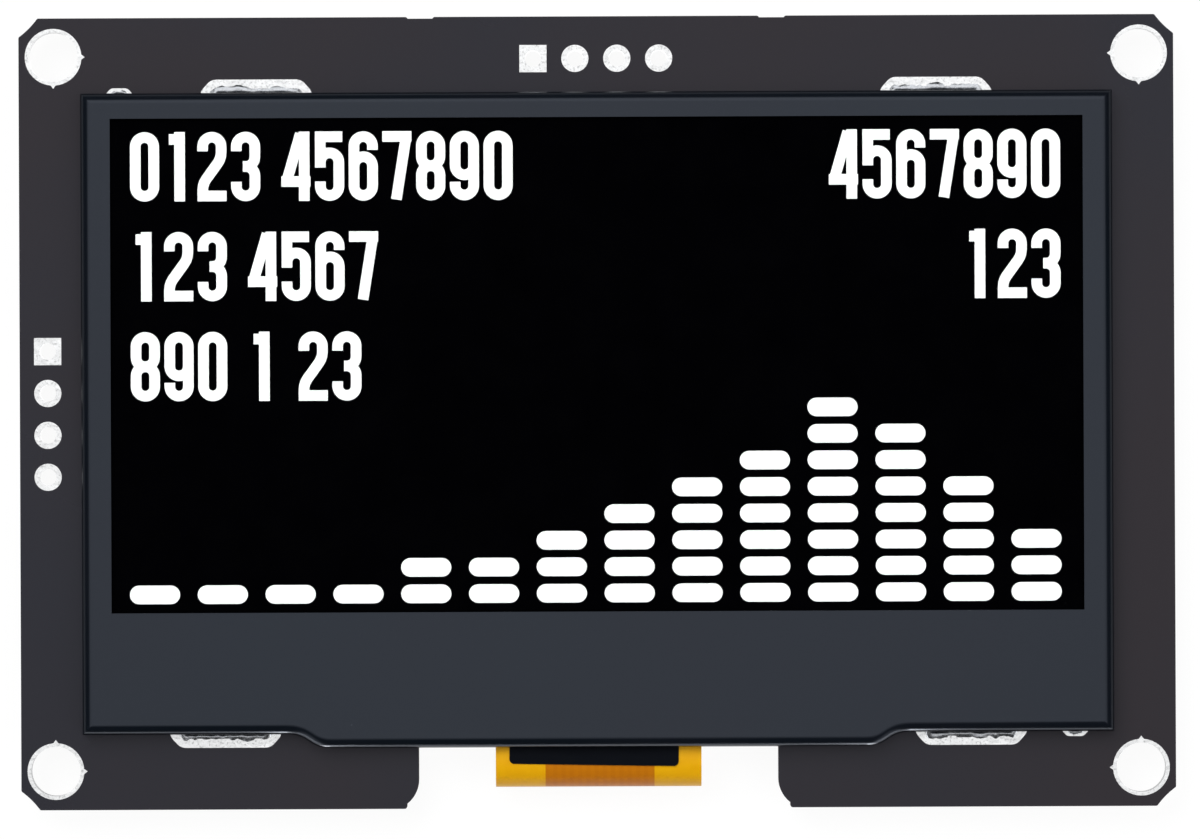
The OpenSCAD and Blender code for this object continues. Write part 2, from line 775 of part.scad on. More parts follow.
module inductor_core() {
    flange = 0.45;
    base = solder_t + 0.05;
    color([0.2, 0.2, 0.21]) on_back(inductor_at) {
        translate([0, 0, base]) linear_extrude(flange) inductor_plate();
        cylinder_from(base, solder_t + inductor_h, 0.3 * inductor_w);
        translate([0, 0, solder_t + inductor_h - flange]) linear_extrude(flange)
            inductor_plate();
    }
}

module cylinder_from(z0, z1, r) {
    translate([0, 0, z0]) cylinder(r = r, h = z1 - z0);
}

module inductor_coil() {
    flange = 0.45;
    base = solder_t + 0.05 + flange;
    color([0.62, 0.33, 0.16]) on_back(inductor_at) difference() {
        cylinder_from(base, solder_t + inductor_h - flange, 0.44 * inductor_w);
        cylinder_from(base - 1, inductor_h + 1, 0.3 * inductor_w);
    }
}

module inductor_terminals() {
    color([0.83, 0.84, 0.85]) on_back(inductor_at) for (s = [-1, 1])
        translate([s * (inductor_w / 2 - 0.55), 0, 0])
            slab(1.1, 0.6 * inductor_w, 0.05, solder_t);
}

module boost_chip() {
    color([0.09, 0.09, 0.1]) on_back(boost_at) moulded_body(sot_body, 0.15);
}

module boost_chip_leads() {
    color([0.8, 0.81, 0.82]) on_back(boost_at) gull_leads(sot_body, sot6_leads, 0.15);
}

module regulator() {
    color([0.09, 0.09, 0.1]) on_back(regulator_at) moulded_body(sot_body, 0.15);
}

module regulator_leads() {
    color([0.8, 0.81, 0.82]) on_back(regulator_at) gull_leads(sot_body, sot5_leads, 0.15);
}

module transistors() {
    color([0.09, 0.09, 0.1]) for (p = transistors_at) on_back(p)
        moulded_body([2.9, 1.3, 1], 0.15);
}

module transistor_leads() {
    color([0.8, 0.81, 0.82]) for (p = transistors_at) on_back(p)
        gull_leads([2.9, 1.3, 1], sot3_leads, 0.15);
}

module diode() {
    color([0.09, 0.09, 0.1]) on_back(diode_at) moulded_body(diode_body, 0.15);
}

module diode_leads() {
    color([0.8, 0.81, 0.82]) on_back(diode_at, 90)
        gull_leads([1.6, 2.7, 1.1], [[0, -1], [0, 1]], 0.15);
}

module tantalum_capacitor() {
    s = tantalum_size;
    color([0.85, 0.6, 0.2]) on_back(tantalum_at) difference() {
        moulded_body([s[0], s[1], solder_t + s[2]], solder_t);
        tantalum_straps();
    }
}

// Two flat straps fold from the body's ends on to its underside
module tantalum_straps() {
    s = tantalum_size;
    for (a = [0, 180]) rotate([0, 0, a]) translate([s[0] / 2, 0, solder_t]) {
        translate([-0.8, -0.4 * s[1], 0]) cube([0.95, 0.8 * s[1], 0.12]);
        translate([0, -0.4 * s[1], 0]) cube([0.15, 0.8 * s[1], s[2] / 2 + 0.05]);
    }
}

module tantalum_terminals() {
    color([0.8, 0.81, 0.82]) on_back(tantalum_at) tantalum_straps();
}

// Middle of a two-ended chip, and its two plated ends
module chip_middle(size) {
    slab(size[0] - 2 * end_cap, size[1] - 0.06, size[2] - 0.06, solder_t + 0.03);
}

module chip_ends(size) {
    for (s = [-1, 1]) translate([s * (size[0] - end_cap) / 2, 0, 0])
        slab(end_cap, size[1], size[2], solder_t);
}

module each_place(places) {
    for (p = places) on_back(p, p[2]) children();
}

module ceramic_capacitors() {
    color([0.66, 0.52, 0.36]) {
        each_place(big_caps_at) chip_middle(big_cap_size);
        each_place(small_caps_at) chip_middle(small_cap_size);
    }
}

module capacitor_terminals() {
    color([0.8, 0.81, 0.82]) {
        each_place(big_caps_at) chip_ends(big_cap_size);
        each_place(small_caps_at) chip_ends(small_cap_size);
    }
}

module resistors() {
    color([0.88, 0.88, 0.86]) each_place(resistors_at) chip_middle(resistor_size);
}

module resistor_films() {
    s = resistor_size;
    color([0.06, 0.06, 0.07]) each_place(resistors_at)
        slab(s[0] - 2 * end_cap, s[1] - 0.1, 0.03, solder_t + s[2] - 0.03);
}

module resistor_terminals() {
    color([0.8, 0.81, 0.82]) each_place(resistors_at) chip_ends(resistor_size);
}

module smd_solder() {
    color([0.75, 0.76, 0.78]) {
        each_place(big_caps_at) chip_solder(big_cap_size, end_cap);
        each_place(small_caps_at) chip_solder(small_cap_size, end_cap);
        each_place(resistors_at) chip_solder(resistor_size, end_cap);
        on_back(tantalum_at) chip_solder(tantalum_size + [0.3, -0.6, -1], 0.9);
        on_back(inductor_at) chip_solder([inductor_w, 0.6 * inductor_w, 0.1], 1.1);
        on_back(boost_at) lead_solder(sot_body, sot6_leads);
        on_back(regulator_at) lead_solder(sot_body, sot5_leads);
        on_back(diode_at, 90) lead_solder([1.6, 2.7, 1.1], [[0, -1], [0, 1]]);
        for (p = transistors_at) on_back(p) lead_solder([2.9, 1.3, 1], sot3_leads);
    }
}

board();
mount_plating();
top_header_plating();
side_header_plating();
slot_plating();
frame();
tab_solder();
polariser();
front_glass();
organic_film();
glass_seal();
desiccant();
cap_glass();
driver_chip();
foam_tape();
flat_cable();
cable_stiffener();
cable_tape();
socket_housing();
socket_slider();
socket_contacts();
socket_anchors();
inductor_core();
inductor_coil();
inductor_terminals();
boost_chip();
boost_chip_leads();
regulator();
regulator_leads();
transistors();
transistor_leads();
diode();
diode_leads();
tantalum_capacitor();
tantalum_terminals();
ceramic_capacitors();
capacitor_terminals();
resistors();
resistor_films();
resistor_terminals();
smd_solder();
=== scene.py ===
"""Small OLED display module: the finish of each piece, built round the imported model."""

import json
import math

import bmesh
import bpy
from mathutils import Matrix, Vector, noise


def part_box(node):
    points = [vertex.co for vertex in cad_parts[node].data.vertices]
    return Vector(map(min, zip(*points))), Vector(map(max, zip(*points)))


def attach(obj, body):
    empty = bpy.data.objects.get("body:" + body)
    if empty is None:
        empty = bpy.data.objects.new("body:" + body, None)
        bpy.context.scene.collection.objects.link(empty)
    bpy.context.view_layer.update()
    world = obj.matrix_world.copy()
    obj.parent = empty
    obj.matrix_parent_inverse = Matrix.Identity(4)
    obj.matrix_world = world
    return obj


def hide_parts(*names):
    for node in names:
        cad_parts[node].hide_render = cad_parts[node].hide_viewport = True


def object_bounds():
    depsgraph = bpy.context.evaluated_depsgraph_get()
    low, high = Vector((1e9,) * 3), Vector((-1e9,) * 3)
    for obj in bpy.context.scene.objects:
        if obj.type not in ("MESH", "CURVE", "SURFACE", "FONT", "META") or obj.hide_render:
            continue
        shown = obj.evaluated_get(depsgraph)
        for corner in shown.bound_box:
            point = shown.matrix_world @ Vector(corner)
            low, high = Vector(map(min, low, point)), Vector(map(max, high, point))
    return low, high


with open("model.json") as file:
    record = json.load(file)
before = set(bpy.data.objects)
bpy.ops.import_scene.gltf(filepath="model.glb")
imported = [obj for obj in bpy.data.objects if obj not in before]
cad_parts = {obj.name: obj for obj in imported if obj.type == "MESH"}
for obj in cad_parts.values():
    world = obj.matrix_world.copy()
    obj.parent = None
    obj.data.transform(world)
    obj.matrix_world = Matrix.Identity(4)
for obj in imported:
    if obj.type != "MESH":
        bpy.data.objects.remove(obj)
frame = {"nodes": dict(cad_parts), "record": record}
cad_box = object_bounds()

# ---- Camera
# A long lens looks straight down on the module from a copy stand, so nothing leans.
# The module lies a quarter of a degree askew and a little above the picture's middle.
MM = 0.001
scene = bpy.context.scene
scene.view_settings.view_transform = "Standard"
board_low, board_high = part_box("board")
picture_width = 1.0392 * (board_high.x - board_low.x)
camera_height = 0.8
aim_x, aim_y = 0.166 * MM, -0.444 * MM
askew = math.radians(-0.235)
camera_data = bpy.data.cameras.new("camera")
camera_data.sensor_width = 36
camera_data.lens = camera_data.sensor_width * camera_height / picture_width
camera = bpy.data.objects.new("camera", camera_data)
camera.location = (aim_x, aim_y, board_high.z + camera_height)
camera.rotation_euler.z = askew
scene.collection.objects.link(camera)
scene.camera = camera


# ---- Circuit board
# Glass-fibre laminate, 1.6 mm thick, routed to shape and coated on both faces with glossy
# black solder mask. The cloth shows faintly through the mask, and the routed edges stay
# bare: dark resin with the ends of the glass fibres in thin layers.
def srgb(red, green, blue):
    """A colour from its 0-255 values as seen on a screen."""
    steps = [value / 255 for value in (red, green, blue)]
    return [s / 12.92 if s < 0.04045 else ((s + 0.055) / 1.055) ** 2.4 for s in steps] + [1]


def set_inputs(tree, node, inputs):
    """Sets a node's inputs to numbers and colours, or links other nodes' outputs to them."""
    for name, value in inputs.items():
        if isinstance(value, bpy.types.NodeSocket):
            tree.links.new(value, node.inputs[name])
        else:
            node.inputs[name].default_value = value


def add_node(tree, kind, inputs, **settings):
    node = tree.nodes.new("ShaderNode" + kind)
    for name, value in settings.items():
        setattr(node, name, value)
    set_inputs(tree, node, inputs)
    return node


def calculate(tree, operation, *values, clamp=False):
    inputs = dict(enumerate(values))
    return add_node(tree, "Math", inputs, operation=operation, use_clamp=clamp).outputs[0]


def mix_colours(tree, share, first, second):
    mix = add_node(tree, "Mix", {0: share, 6: first, 7: second}, data_type="RGBA")
    return mix.outputs[2]


def rescale(tree, value, low, high, to_low=0.0, to_high=1.0):
    """Maps low..high of a value to a new range, smoothly and without overshoot."""
    inputs = {0: value, 1: low, 2: high, 3: to_low, 4: to_high}
    return add_node(tree, "MapRange", inputs, interpolation_type="SMOOTHSTEP").outputs[0]


def millimetres(tree, stretch=(1, 1, 1)):
    """The place on the piece in millimetres."""
    place = add_node(tree, "TexCoord", {}).outputs["Object"]
    scale = [s / MM for s in stretch]
    return add_node(tree, "Mapping", {"Vector": place, "Scale": scale}).outputs[0]


def new_group(name, inputs, outputs):
    """An empty shader node group; returns its tree, its input sockets and its output node."""
    tree = bpy.data.node_groups.new(name, "ShaderNodeTree")
    for socket, value in inputs.items():
        kind = "NodeSocketVector" if value is None else "NodeSocketFloat"
        made = tree.interface.new_socket(socket, in_out="INPUT", socket_type=kind)
        if value is not None:
            made.default_value = value
    for socket in outputs:
        tree.interface.new_socket(socket, in_out="OUTPUT", socket_type="NodeSocketFloat")
    return tree, tree.nodes.new("NodeGroupInput").outputs, tree.nodes.new("NodeGroupOutput")


def use_group(tree, group, inputs):
    node = tree.nodes.new("ShaderNodeGroup")
    node.node_tree = group
    set_inputs(tree, node, inputs)
    return node.outputs


def build_cured_coat():
    """Skin of a sprayed or poured coat: fine orange peel on long soft waves, and blotches."""
    defaults = {"Place": None, "Peel size": 0.2, "Wave size": 2.5, "Blotch size": 14.0}
    tree, given, out = new_group("cured coat", defaults, ["Height", "Blotch"])
    layers = []
    for size, detail in (("Peel size", 2), ("Wave size", 1), ("Blotch size", 2)):
        scale = calculate(tree, "DIVIDE", 1.0, given[size])
        inputs = {"Vector": given["Place"], "Scale": scale, "Detail": detail}
        layers.append(add_node(tree, "TexNoise", inputs).outputs["Fac"])
    peel, wave, blotch = layers
    height = calculate(tree, "MULTIPLY_ADD", wave, 3.0, peel)
    set_inputs(tree, out, {"Height": height, "Blotch": rescale(tree, blotch, 0.3, 0.7)})
    return tree


def build_dust():
    """Sparse specks of dust: small dots, most of which are left out."""
    defaults = {"Place": None, "Spacing": 1.4, "Speck size": 0.05, "Share": 0.3}
    tree, given, out = new_group("dust", defaults, ["Mask"])
    scale = calculate(tree, "DIVIDE", 1.0, given["Spacing"])
    cells = add_node(tree, "TexVoronoi", {"Vector": given["Place"], "Scale": scale}).outputs
    away = calculate(tree, "MULTIPLY", cells["Distance"], given["Spacing"])
    dot = calculate(tree, "LESS_THAN", away, given["Speck size"])
    chosen = add_node(tree, "SeparateColor", {"Color": cells["Color"]}).outputs["Red"]
    kept = calculate(tree, "LESS_THAN", chosen, given["Share"])
    set_inputs(tree, out, {"Mask": calculate(tree, "MULTIPLY", dot, kept)})
    return tree


def build_glass_cloth():
    """Plain weave of the glass cloth under the mask, with uneven threads."""
    tree, given, out = new_group("glass cloth", {"Place": None, "Thread": 0.42}, ["Height"])
    warp = {"Vector": given["Place"], "Scale": 0.8, "Detail": 1}
    drift = add_node(tree, "TexNoise", warp).outputs["Fac"]
    axes = add_node(tree, "SeparateXYZ", {"Vector": given["Place"]}).outputs
    waves = []
    for axis in ("X", "Y"):
        moved = calculate(tree, "MULTIPLY_ADD", drift, 0.3, axes[axis])
        turns = calculate(tree, "DIVIDE", moved, given["Thread"])
        waves.append(calculate(tree, "SINE", calculate(tree, "MULTIPLY", turns, math.pi)))
    set_inputs(tree, out, {"Height": calculate(tree, "MULTIPLY", *waves)})
    return tree


cured_coat = build_cured_coat()
dust = build_dust()
glass_cloth = build_glass_cloth()


def new_material(name, inputs):
    """A material whose one Principled shader has these inputs; returns tree and shader too."""
    material = bpy.data.materials.new(name)
    material.use_nodes = True
    tree = material.node_tree
    shader = tree.nodes["Principled BSDF"]
    set_inputs(tree, shader, inputs)
    return material, tree, shader


def add_bump(tree, height, depth):
    """Surface relief, depth in millimetres for a height of one."""
    return add_node(tree, "Bump", {"Height": height, "Distance": depth * MM}).outputs[0]


def facing_up(tree):
    """How far a face is turned to or from the board's plane: 1 flat, 0 upright."""
    facing = add_node(tree, "TexCoord", {}).outputs["Normal"]
    upward = add_node(tree, "SeparateXYZ", {"Vector": facing}).outputs["Z"]
    return calculate(tree, "ABSOLUTE", upward)


dust_grey = srgb(44, 42, 42)
dark_resin = srgb(30, 24, 18)
fibre_ends = srgb(78, 66, 52)


def solder_mask(name, deep, warm):
    """Glossy black coat in two near tones over the glass cloth, and bare edges."""
    material, tree, shader = new_material(name, {
        "Specular IOR Level": 0.4, "Specular Tint": (0.87, 0.87, 1, 1),
    })
    place = millimetres(tree)
    coat = use_group(tree, cured_coat, {"Place": place, "Peel size": 0.12, "Blotch size": 24})
    cloth = use_group(tree, glass_cloth, {"Place": place})
    specks = use_group(tree, dust, {"Place": place, "Spacing": 2.2})
    edge = calculate(tree, "LESS_THAN", facing_up(tree), 0.5)

    mask = mix_colours(tree, coat["Blotch"], deep, warm)
    mask = mix_colours(tree, specks["Mask"], mask, dust_grey)
    along = millimetres(tree, stretch=(3, 3, 22))
    plies = add_node(tree, "TexNoise", {"Vector": along, "Scale": 0.9, "Detail": 3})
    core = mix_colours(tree, plies.outputs["Fac"], dark_resin, fibre_ends)
    rough = calculate(tree, "MULTIPLY_ADD", coat["Blotch"], 0.06, 0.26)
    height = calculate(tree, "MULTIPLY_ADD", cloth["Height"], 0.5, coat["Height"])
    set_inputs(tree, shader, {
        "Base Color": mix_colours(tree, edge, mask, core),
        "Roughness": calculate(tree, "MULTIPLY_ADD", edge, 0.45, rough),
        "Normal": add_bump(tree, height, 0.0006),
    })
    return material


nodes = frame["nodes"]


def finish_node(name, material):
    nodes[name].data.materials[0] = material


finish_node("board", solder_mask("solder_mask", srgb(16, 17, 23), srgb(24, 19, 21)))

# ---- Tracks and vias
# Copper tracks 0.03 mm thick join the parts on the back. The mask runs over them, so they
# show as low ridges of a slightly warmer black, and the vias as small dimpled rings.
mask_on_copper = solder_mask("mask_on_copper", srgb(40, 35, 34), srgb(46, 38, 35))
track_height = 0.03 * MM
track_width = 0.24 * MM
header_track_width = 2 * track_width
power_width = 0.9 * MM
track_bend = 0.3 * MM
track_root = 0.01 * MM
pad_cover = 0.3 * MM
pad_middle = 0.825 * MM
header_pitch = 2.54 * MM
cable_pins = 24
pin_pitch = 0.5 * MM
fan_step = 0.34 * MM
via_radius = 0.3 * MM
via_height = 1.5 * track_height
via_rim = 0.12 * MM
via_slope = 0.05 * MM
via_dimple = 0.02 * MM
via_edge_room = 1.0 * MM
via_step = 5.5 * MM
side_via_step = 5 * MM
notch_reach = 13 * MM
part_bodies = frame["record"]["behaviour"]["bodies"]


def new_piece(name, shape, material, body):
    """Makes a finished shape a piece that rides on a body and takes the slot's finish."""
    mesh = bpy.data.meshes.new(name)
    shape.to_mesh(mesh)
    shape.free()
    mesh.materials.append(material)
    piece = bpy.data.objects.new(name, mesh)
    scene.collection.objects.link(piece)
    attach(piece, body)
    return piece


def pen_stroke(shape, start, heading, moves, width):
    """Draws one flat stroke: a number moves straight on, a pair (turn, radius) is an arc."""
    place = Vector((start[0], start[1], 0))
    ahead = Matrix.Rotation(math.radians(heading), 3, "Z") @ Vector((1, 0, 0))
    side = Vector((-ahead.y, ahead.x, 0))
    ends = [shape.verts.new(place + s * side * width / 2) for s in (-1, 1)]
    edges = [shape.edges.new(ends)]
    for move in moves:
        if isinstance(move, tuple):
            turn, radius = move
            centre = place + side * math.copysign(radius, turn)
            angle = math.radians(turn)
            steps = max(3, round(abs(turn) / 12))
            made = bmesh.ops.spin(shape, geom=ends + edges, cent=centre, axis=(0, 0, 1),
                                  angle=angle, steps=steps)["geom_last"]
            turned = Matrix.Rotation(angle, 3, "Z")
            place = centre + turned @ (place - centre)
            ahead, side = turned @ ahead, turned @ side
        else:
            made = bmesh.ops.extrude_edge_only(shape, edges=edges)["geom"]
            moved = [v for v in made if isinstance(v, bmesh.types.BMVert)]
            bmesh.ops.translate(shape, verts=moved, vec=ahead * move)
            place = place + ahead * move
        ends = [v for v in made if isinstance(v, bmesh.types.BMVert)]
        edges = [e for e in made if isinstance(e, bmesh.types.BMEdge)
                 and all(v in ends for v in e.verts)]


def thicken(shape, low, high):
    """Turns flat strokes into closed slabs between two levels."""
    bmesh.ops.remove_doubles(shape, verts=shape.verts, dist=0.001 * MM)
    bmesh.ops.translate(shape, verts=shape.verts, vec=(0, 0, low))
    raised = bmesh.ops.extrude_face_region(shape, geom=shape.faces[:], use_keep_orig=True)
    top = [v for v in raised["geom"] if isinstance(v, bmesh.types.BMVert)]
    bmesh.ops.translate(shape, verts=top, vec=(0, 0, high - low))
    bmesh.ops.recalc_face_normals(shape, faces=shape.faces)


def middle(node):
    low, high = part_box(node)
    return (low + high) / 2


def dogleg_track(shape, start, heading, runs, turn, width):
    """A track that runs on, turns aside, turns back and runs on."""
    first, aslant, last = runs
    moves = [first, (turn, track_bend), aslant, (-turn, track_bend), last]
    pen_stroke(shape, start, heading, moves, width)


def draw_cable_tracks(shape):
    """A fan of fine tracks from the socket's contacts, every third one longer."""
    low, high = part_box("socket_contacts")
    for i in range(cable_pins):
        rank = i - (cable_pins - 1) / 2
        start = (rank * pin_pitch, high.y - pad_cover)
        side = math.copysign(1, rank)
        rise = (0.5 + 0.32 * (cable_pins / 2 - abs(rank))) * MM
        reach = (11.0 if i % 3 == 0 else 7.4) * MM
        runs = (rise, fan_step * (abs(rank) - 0.5), reach - rise)
        dogleg_track(shape, start, 90, runs, -45 * side, track_width)


def draw_header_tracks(shape):
    """Tracks from the four holes of each header, broad ones for the power."""
    low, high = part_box("top_header_plating")
    for i, first in enumerate((2.4, 1.6, 1.6, 2.4)):
        start = (low.x + pad_middle + i * header_pitch, low.y + pad_cover)
        turn = -45 if i < 2 else 45
        width = power_width if i in (0, 3) else header_track_width
        dogleg_track(shape, start, -90, (first * MM, 5.2 * MM, 3.4 * MM), turn, width)
    low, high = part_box("side_header_plating")
    for i, first in enumerate((2.0, 2.5, 3.0, 3.5)):
        start = (high.x - pad_cover, low.y + pad_middle + i * header_pitch)
        turn = -45 if i < 2 else 45
        runs = (first * MM, 1.6 * MM, 2.2 * MM)
        dogleg_track(shape, start, 0, runs, turn, header_track_width)


def draw_power_tracks(shape):
    """Broad straight tracks between the parts that make the panel's supply."""
    coil, chip, diode = (middle(n) for n in ("inductor_core", "boost_chip", "diode"))
    tank, low_drop = (middle(n) for n in ("tantalum_capacitor", "regulator"))
    for x, y, length in (
        (chip.x, chip.y + 0.3 * MM, coil.x - chip.x),
        (coil.x + 1.6 * MM, coil.y, 4.2 * MM),
        (diode.x - 2 * MM, diode.y, 7.6 * MM),
        (tank.x + 1.5 * MM, tank.y, low_drop.x - tank.x),
    ):
        pen_stroke(shape, (x, y), 0, [length], power_width)


def draw_vias(shape):
    """Round lands, along the board's edges and in two rows among the tracks."""
    places = []
    for rank in range(-5, 6):
        x = rank * via_step
        places.append((x, board_high.y - via_edge_room))
        if abs(x) > notch_reach:
            places.append((x, board_low.y + via_edge_room))
    for rank in range(-3, 4):
        places.append((board_high.x - via_edge_room, rank * side_via_step))
    for i in range(8):
        places.append(((i - 3.5) * 2.3 * MM, -4.6 * MM))
        places.append(((i - 3.5) * 2.0 * MM, 5.9 * MM))
    for x, y in places:
        made = bmesh.ops.create_circle(shape, cap_ends=True, segments=20, radius=via_radius)
        bmesh.ops.translate(shape, verts=made["verts"], vec=(x, y, 0))


tracks = bmesh.new()
draw_cable_tracks(tracks)
draw_header_tracks(tracks)
draw_power_tracks(tracks)
thicken(tracks, -track_height, track_root)
new_piece("masked_tracks", tracks, mask_on_copper, "module")
lands = bmesh.new()
draw_vias(lands)
thicken(lands, -via_height, track_root)
lower = [f for f in lands.faces if f.normal.z < -0.5]
bmesh.ops.inset_individual(lands, faces=lower, thickness=via_rim, depth=0)
bmesh.ops.inset_individual(lands, faces=lower, thickness=via_slope, depth=-via_dimple)
new_piece("masked_vias", lands, mask_on_copper, "module")

# ---- Printed legend
# White ink is screened on the mask of the back: a frame round the headers and larger parts,
# a bar beside the first hole of each header, and a dot at the first lead of each chip and of
# the socket.
legend_width = 0.15 * MM
legend_height = 0.035 * MM
dot_radius = 0.22 * MM
header_room = 0.45 * MM
coil_room = 0.85 * MM
package_room = 0.5 * MM
first_hole = 2.1 * MM
bar_overhang = 0.37 * MM


def printed_frame(shape, node, room):
    low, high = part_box(node)
    left, foot = low.x - room, low.y - room
    width, height = high.x - low.x + 2 * room, high.y - low.y + 2 * room
    for y in (foot, foot + height):
        corner = (left - legend_width / 2, y)
        pen_stroke(shape, corner, 0, [width + legend_width], legend_width)
    for x in (left, left + width):
        corner = (x, foot + legend_width / 2)
        pen_stroke(shape, corner, 90, [height - legend_width], legend_width)


def printed_dot(shape, x, y):
    made = bmesh.ops.create_circle(shape, cap_ends=True, segments=20, radius=dot_radius)
    bmesh.ops.translate(shape, verts=made["verts"], vec=(x, y, 0))


def draw_legend(shape):
    for node in ("top_header_plating", "side_header_plating"):
        printed_frame(shape, node, header_room)
    printed_frame(shape, "inductor_core", coil_room)
    for node in ("tantalum_capacitor", "boost_chip_leads", "regulator_leads"):
        printed_frame(shape, node, package_room)
    low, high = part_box("top_header_plating")
    pen_stroke(shape, (low.x + first_hole, low.y - bar_overhang), 90,
               [high.y - low.y + 2 * bar_overhang], legend_width)
    low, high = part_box("side_header_plating")
    pen_stroke(shape, (low.x - bar_overhang, high.y - first_hole), 0,
               [high.x - low.x + 2 * bar_overhang], legend_width)
    for node in ("boost_chip_leads", "regulator_leads"):
        low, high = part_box(node)
        printed_dot(shape, low.x - 0.95 * MM, low.y + 0.1 * MM)
    low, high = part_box("socket_housing")
    printed_dot(shape, low.x - 0.9 * MM, high.y + 0.6 * MM)


def legend_ink():
    material, tree, shader = new_material("legend_ink", {})
    place = millimetres(tree)
    coat = use_group(tree, cured_coat, {"Place": place, "Peel size": 0.05, "Wave size": 0.4})
    patchy = add_node(tree, "TexNoise", {"Vector": place, "Scale": 9.0, "Detail": 4}).outputs[0]
    thin = rescale(tree, patchy, 0.55, 0.75)
    set_inputs(tree, shader, {
        "Base Color": mix_colours(tree, thin, srgb(232, 232, 228), srgb(176, 176, 174)),
        "Roughness": calculate(tree, "MULTIPLY_ADD", thin, 0.2, 0.5),
        "Normal": add_bump(tree, coat["Height"], 0.003),
    })
    return material


ink = bmesh.new()
draw_legend(ink)
thicken(ink, -legend_height, 0.0)
new_piece("printed_legend", ink, legend_ink(), "module")


# ---- Plated holes
# Copper pads and hole walls under a bright coat of tin, levelled with hot air: the metal
# is thick in the middle of each ring, thin at its rims, and slightly lumpy.
def tinned(name, colour, roughness, lump_size, depth):
    """Bright tin or solder, with soft lumps and duller spots where it has oxidised."""
    material, tree, shader = new_material(name, {"Metallic": 1.0})
    place = millimetres(tree)
    inputs = {"Vector": place, "Scale": 1 / lump_size, "Detail": 1.5, "Distortion": 0.6}
    lumps = add_node(tree, "TexNoise", inputs).outputs["Fac"]
    inputs = {"Vector": place, "Scale": 5 / lump_size, "Detail": 3}
    frost = add_node(tree, "TexNoise", inputs).outputs["Fac"]
    dull = rescale(tree, frost, 0.5, 0.75)
    darker = [0.78 * value for value in colour[:3]] + [1]
    height = calculate(tree, "MULTIPLY_ADD", frost, 0.06, lumps)
    set_inputs(tree, shader, {
        "Base Color": mix_colours(tree, dull, colour, darker),
        "Roughness": calculate(tree, "MULTIPLY_ADD", dull, 0.2, roughness),
        "Normal": add_bump(tree, height, depth),
    })
    return material


pad_tin = tinned("pad_tin", srgb(246, 247, 248), 0.22, 0.7, 0.02)
for name in ("mount_plating", "top_header_plating", "side_header_plating", "slot_plating"):
    finish_node(name, pad_tin)


# ---- Parts on the back
# Small parts are soldered to the back: moulded packages with bent tin-plated leads, fired
# ceramic chips with plated ends, a moulded tantalum capacitor and a wound inductor.
def merged_copy(node):
    """A node's mesh with its loose triangles joined and its flat faces made whole."""
    shape = bmesh.new()
    shape.from_mesh(nodes[node].data)
    bmesh.ops.remove_doubles(shape, verts=shape.verts, dist=0.0005 * MM)
    bmesh.ops.dissolve_limit(shape, angle_limit=math.radians(1.5), verts=shape.verts,
                             edges=shape.edges)
    return shape


sharp_turn = math.radians(35)


def soften(node, material, width):
    """Stands for a CAD node with a copy whose sharp edges are rounded by a small width."""
    shape = merged_copy(node)
    sharp = [e for e in shape.edges
             if len(e.link_faces) == 2 and e.calc_face_angle() > sharp_turn]
    bmesh.ops.bevel(shape, geom=sharp, offset=width, affect="EDGES", segments=2, profile=0.5,
                    material=-1, clamp_overlap=True)
    body = next(b for b, members in part_bodies.items() if node in members)
    piece = new_piece(node + "_finished", shape, material, body)
    piece.data.shade_smooth()
    piece.data.set_sharp_from_angle(angle=math.radians(50))
    piece.modifiers.new("even_shading", "WEIGHTED_NORMAL").keep_sharp = True
    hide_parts(node)


def speckled(name, colour, roughness, grain, depth, contrast=0.12, gloss=0.5):
    """Moulded, cast or fired matter: grains of two near tones in a slightly rough skin."""
    material, tree, shader = new_material(name, {"Specular IOR Level": gloss})
    place = millimetres(tree)
    cells = add_node(tree, "TexVoronoi", {"Vector": place, "Scale": 1 / grain}).outputs
    inputs = {"Vector": place, "Scale": 0.5 / grain, "Detail": 4}
    cloud = add_node(tree, "TexNoise", inputs).outputs["Fac"]
    tone = add_node(tree, "SeparateColor", {"Color": cells["Color"]}).outputs["Green"]
    dark = [(1 - contrast) * value for value in colour[:3]] + [1]
    light = [min(1, (1 + contrast) * value) for value in colour[:3]] + [1]
    set_inputs(tree, shader, {
        "Base Color": mix_colours(tree, tone, dark, light),
        "Roughness": calculate(tree, "MULTIPLY_ADD", cloud, 0.15, roughness - 0.08),
        "Normal": add_bump(tree, calculate(tree, "ADD", cloud, tone), depth),
    })
    return material


moulding = speckled("black_moulding", srgb(38, 38, 40), 0.55, 0.05, 0.006, 0.25)
lead_tin = tinned("lead_tin", srgb(214, 216, 219), 0.3, 0.25, 0.01)
joint_solder = tinned("joint_solder", srgb(222, 224, 227), 0.2, 0.5, 0.03)
for name in ("boost_chip", "regulator", "transistors", "diode"):
    soften(name, moulding, 0.05 * MM)
for name in ("boost_chip_leads", "regulator_leads", "transistor_leads", "diode_leads"):
    soften(name, lead_tin, 0.03 * MM)
for name in ("capacitor_terminals", "resistor_terminals"):
    soften(name, lead_tin, 0.06 * MM)
for name in ("tantalum_terminals", "inductor_terminals"):
    soften(name, lead_tin, 0.02 * MM)
soften("ceramic_capacitors", speckled("tan_ceramic", srgb(176, 148, 116), 0.5, 0.06, 0.003),
       0.03 * MM)
soften("resistors", speckled("white_alumina", srgb(226, 226, 220), 0.6, 0.05, 0.003), 0.02 * MM)
soften("resistor_films", speckled("black_glaze", srgb(28, 28, 31), 0.2, 0.05, 0.001), 0.01 * MM)
soften("inductor_core", speckled("ferrite", srgb(66, 66, 69), 0.65, 0.09, 0.01, 0.3), 0.08 * MM)
soften("tantalum_capacitor", speckled("tantalum_mould", srgb(222, 172, 66), 0.45, 0.05, 0.004),
       0.1 * MM)
